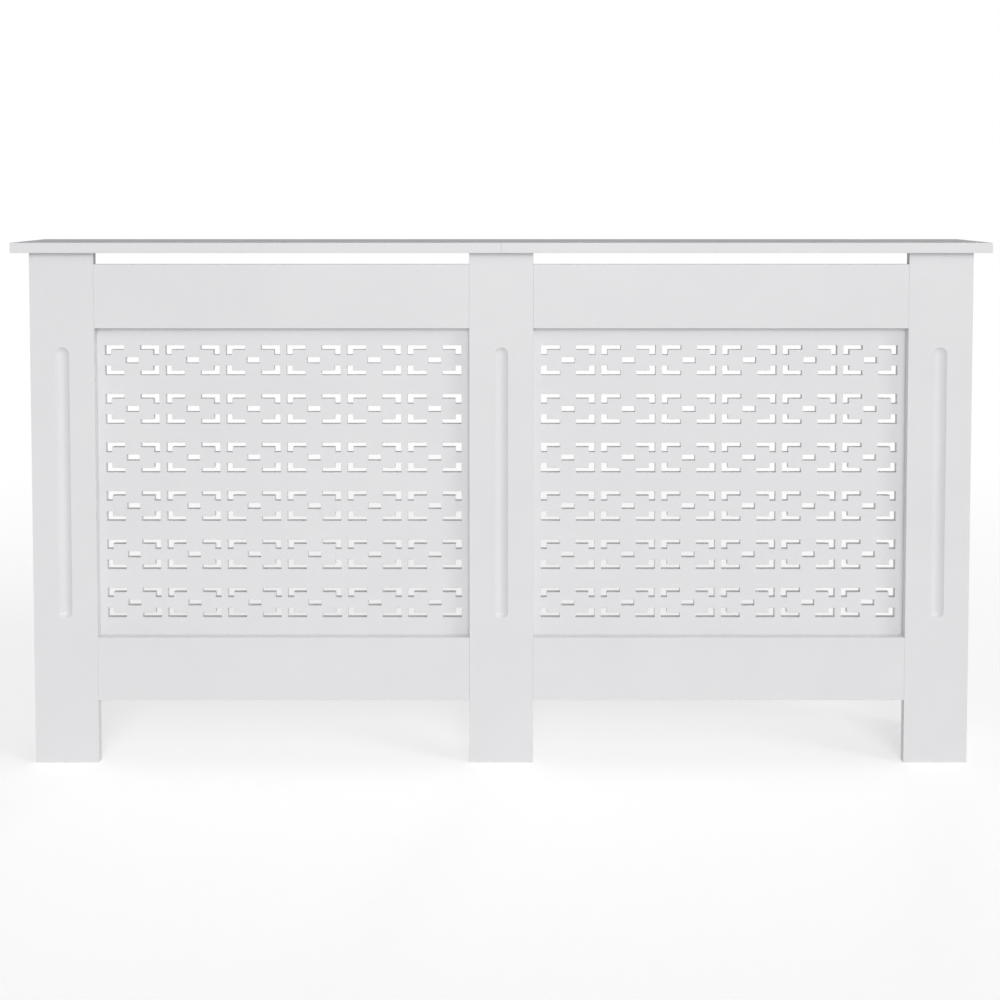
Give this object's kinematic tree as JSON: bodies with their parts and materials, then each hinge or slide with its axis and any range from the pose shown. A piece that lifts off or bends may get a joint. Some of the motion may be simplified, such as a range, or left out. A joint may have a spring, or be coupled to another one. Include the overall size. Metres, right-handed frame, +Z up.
{
  "type": "radiator cover cabinet",
  "caption": "Free-standing cover for a wall radiator: two fretwork bays in a fluted post frame with rails and side boards, open at the back, under a jointed top board.",
  "frame": {"origin": "on the floor, under the middle of the cover's box", "axes": "+X along the cover to the right as seen from the front, +Y from the front to the wall, +Z up"},
  "size_m": [1.52, 0.19, 0.822],
  "materials": {
    "painted_board": "smooth satin white paint on fibreboard",
    "cam_zinc": "dull zinc casting",
    "plated_steel": "bright zinc plate",
    "beech": "bare beech",
    "white_nylon": "moulded, satin"
  },
  "bodies": {
    "cover": {"centre_front_post": "painted_board", "centre_gusset": "painted_board", "front_joining_plate": "plated_steel", "gusset_left_corner_block": "white_nylon", "gusset_right_corner_block": "white_nylon", "left_bottom_inner_cam_bolt": "plated_steel", "left_bottom_inner_dowel": "beech", "left_bottom_outer_cam_bolt": "plated_steel", "left_bottom_outer_dowel": "beech", "left_bottom_rail": "painted_board", "left_front_corner_block": "white_nylon", "left_front_post": "painted_board", "left_grille_board": "painted_board", "left_inner_lower_screw": "plated_steel", "left_inner_upper_screw": "plated_steel", "left_outer_lower_screw": "plated_steel", "left_outer_upper_screw": "plated_steel", "left_rear_corner_block": "white_nylon", "left_side_board": "painted_board", "left_side_lower_dowel": "beech", "left_side_upper_dowel": "beech", "left_top_board": "painted_board", "left_top_inner_cam_bolt": "plated_steel", "left_top_inner_dowel": "beech", "left_top_outer_cam_bolt": "plated_steel", "left_top_outer_dowel": "beech", "left_top_rail": "painted_board", "left_wall_bracket": "plated_steel", "rear_joining_plate": "plated_steel", "right_bottom_inner_cam_bolt": "plated_steel", "right_bottom_inner_dowel": "beech", "right_bottom_outer_cam_bolt": "plated_steel", "right_bottom_outer_dowel": "beech", "right_bottom_rail": "painted_board", "right_front_corner_block": "white_nylon", "right_front_post": "painted_board", "right_grille_board": "painted_board", "right_inner_lower_screw": "plated_steel", "right_inner_upper_screw": "plated_steel", "right_outer_lower_screw": "plated_steel", "right_outer_upper_screw": "plated_steel", "right_rear_corner_block": "white_nylon", "right_side_board": "painted_board", "right_side_lower_dowel": "beech", "right_side_upper_dowel": "beech", "right_top_board": "painted_board", "right_top_inner_cam_bolt": "plated_steel", "right_top_inner_dowel": "beech", "right_top_outer_cam_bolt": "plated_steel", "right_top_outer_dowel": "beech", "right_top_rail": "painted_board", "right_wall_bracket": "plated_steel"},
    "left_bottom_inner_cam": {"left_bottom_inner_cam": "cam_zinc"},
    "left_bottom_outer_cam": {"left_bottom_outer_cam": "cam_zinc"},
    "left_top_inner_cam": {"left_top_inner_cam": "cam_zinc"},
    "left_top_outer_cam": {"left_top_outer_cam": "cam_zinc"},
    "right_bottom_inner_cam": {"right_bottom_inner_cam": "cam_zinc"},
    "right_bottom_outer_cam": {"right_bottom_outer_cam": "cam_zinc"},
    "right_top_inner_cam": {"right_top_inner_cam": "cam_zinc"},
    "right_top_outer_cam": {"right_top_outer_cam": "cam_zinc"}
  },
  "joints": [
    {"name": "left_bottom_inner_cam_turn", "type": "hinge", "parent": "cover", "child": "left_bottom_inner_cam", "pos_m": [-0.084, -0.064, 0.14], "axis": [0, 1, 0], "range_deg": [0, 180]},
    {"name": "left_bottom_outer_cam_turn", "type": "hinge", "parent": "cover", "child": "left_bottom_outer_cam", "pos_m": [-0.601, -0.064, 0.14], "axis": [0, 1, 0], "range_deg": [0, 180]},
    {"name": "left_top_inner_cam_turn", "type": "hinge", "parent": "cover", "child": "left_top_inner_cam", "pos_m": [-0.084, -0.064, 0.748], "axis": [0, 1, 0], "range_deg": [0, 180]},
    {"name": "left_top_outer_cam_turn", "type": "hinge", "parent": "cover", "child": "left_top_outer_cam", "pos_m": [-0.601, -0.064, 0.748], "axis": [0, 1, 0], "range_deg": [0, 180]},
    {"name": "right_bottom_inner_cam_turn", "type": "hinge", "parent": "cover", "child": "right_bottom_inner_cam", "pos_m": [0.084, -0.064, 0.14], "axis": [0, 1, 0], "range_deg": [0, 180]},
    {"name": "right_bottom_outer_cam_turn", "type": "hinge", "parent": "cover", "child": "right_bottom_outer_cam", "pos_m": [0.601, -0.064, 0.14], "axis": [0, 1, 0], "range_deg": [0, 180]},
    {"name": "right_top_inner_cam_turn", "type": "hinge", "parent": "cover", "child": "right_top_inner_cam", "pos_m": [0.084, -0.064, 0.748], "axis": [0, 1, 0], "range_deg": [0, 180]},
    {"name": "right_top_outer_cam_turn", "type": "hinge", "parent": "cover", "child": "right_top_outer_cam", "pos_m": [0.601, -0.064, 0.748], "axis": [0, 1, 0], "range_deg": [0, 180]}
  ]
}
